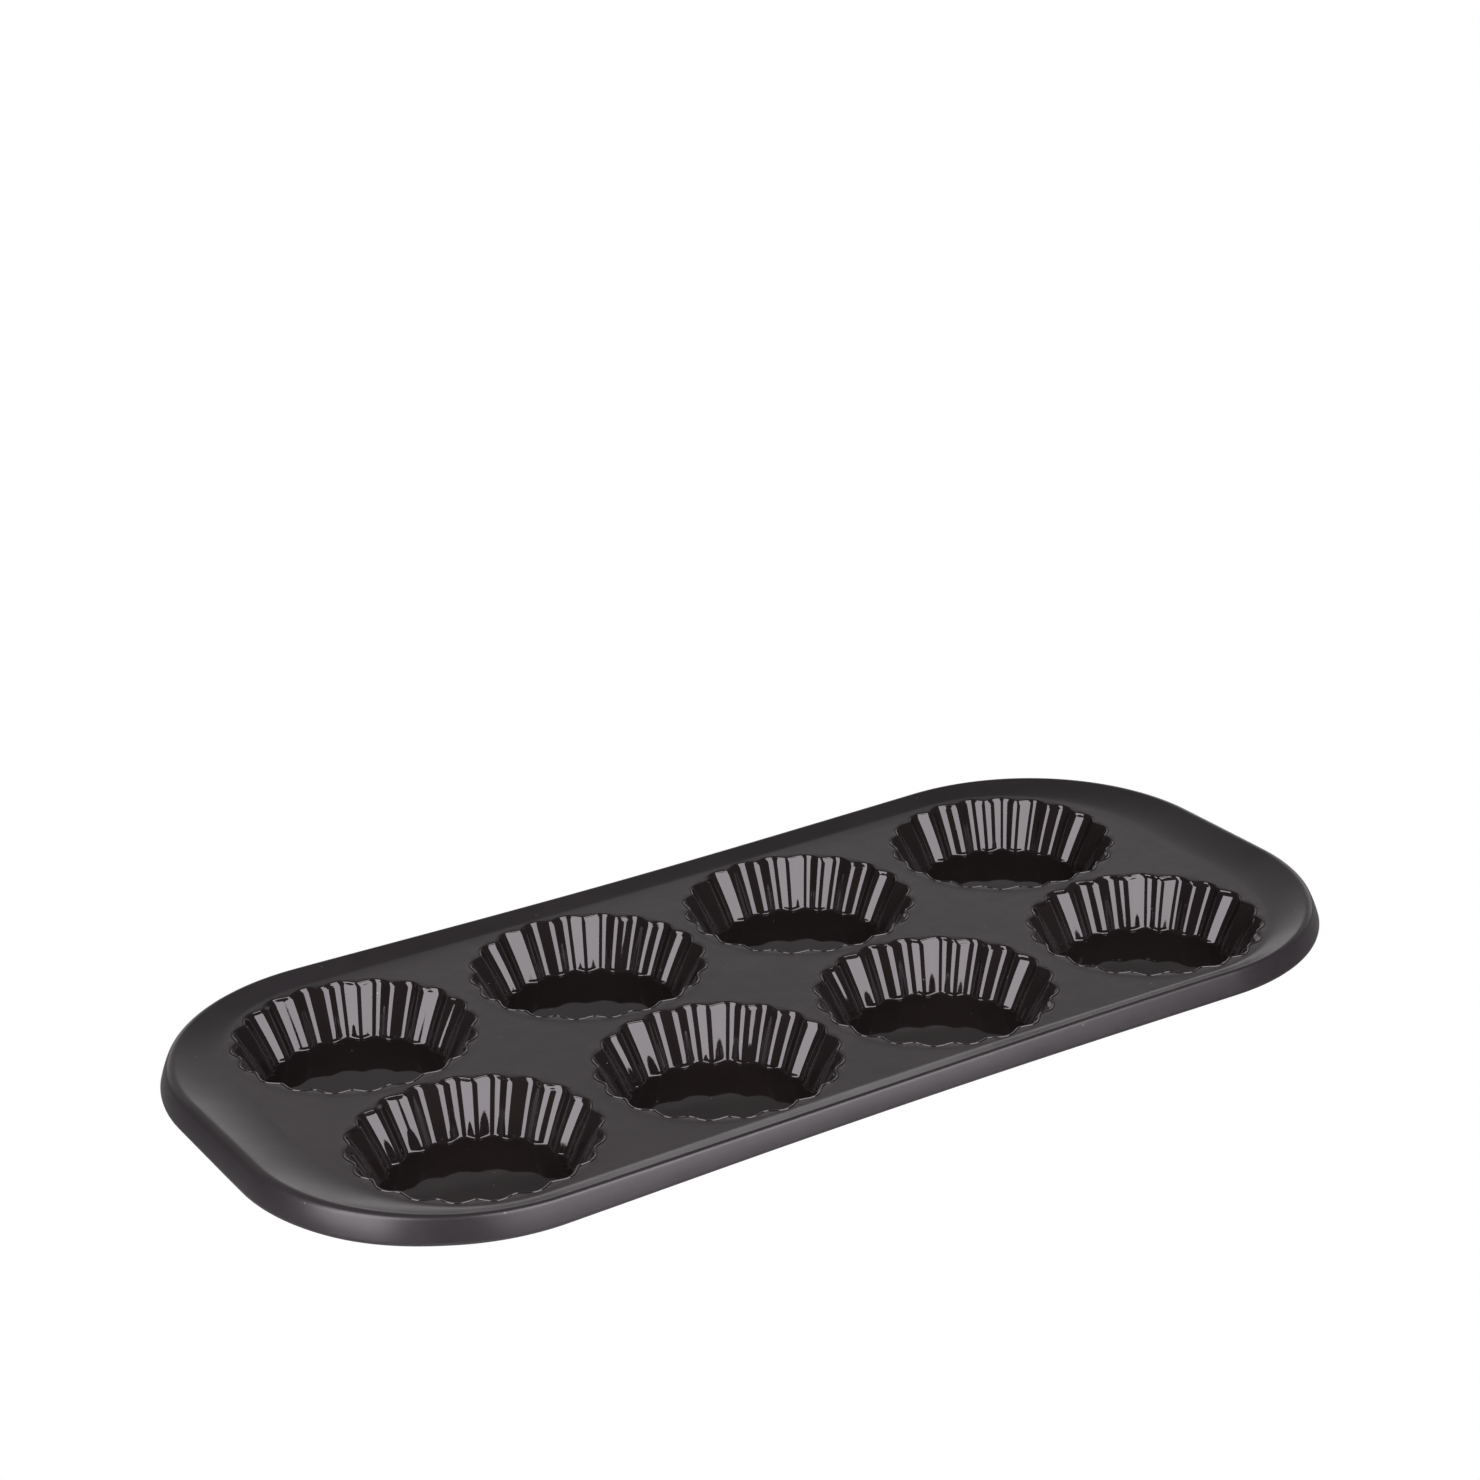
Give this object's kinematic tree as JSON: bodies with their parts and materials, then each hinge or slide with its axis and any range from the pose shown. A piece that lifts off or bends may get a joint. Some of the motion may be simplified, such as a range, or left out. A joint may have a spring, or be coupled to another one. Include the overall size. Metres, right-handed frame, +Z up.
{
  "type": "silicone muffin pan",
  "caption": "Baking mould: a flat silicone web with rows of shallow fluted cups, each with a thin raised lip, inside a rounded rim that turns down into a short skirt.",
  "frame": {"origin": "on the table, under the middle of the pan; the cups' flat bottoms are at z = 0", "axes": "+X along the pan's length, +Y across it, +Z up out of the cups"},
  "size_m": [0.3512, 0.167, 0.0188],
  "materials": {
    "deck": "satin moulded silicone",
    "rim": "satin moulded silicone",
    "cup_1": "glossy moulded silicone",
    "cup_2": "glossy moulded silicone",
    "cup_3": "glossy moulded silicone",
    "cup_4": "glossy moulded silicone",
    "cup_5": "glossy moulded silicone",
    "cup_6": "glossy moulded silicone",
    "cup_7": "glossy moulded silicone",
    "cup_8": "glossy moulded silicone"
  },
  "bodies": {
    "root": {"deck": "deck", "rim": "rim", "cup_1": "cup_1", "cup_2": "cup_2", "cup_3": "cup_3", "cup_4": "cup_4", "cup_5": "cup_5", "cup_6": "cup_6", "cup_7": "cup_7", "cup_8": "cup_8"}
  },
  "joints": []
}
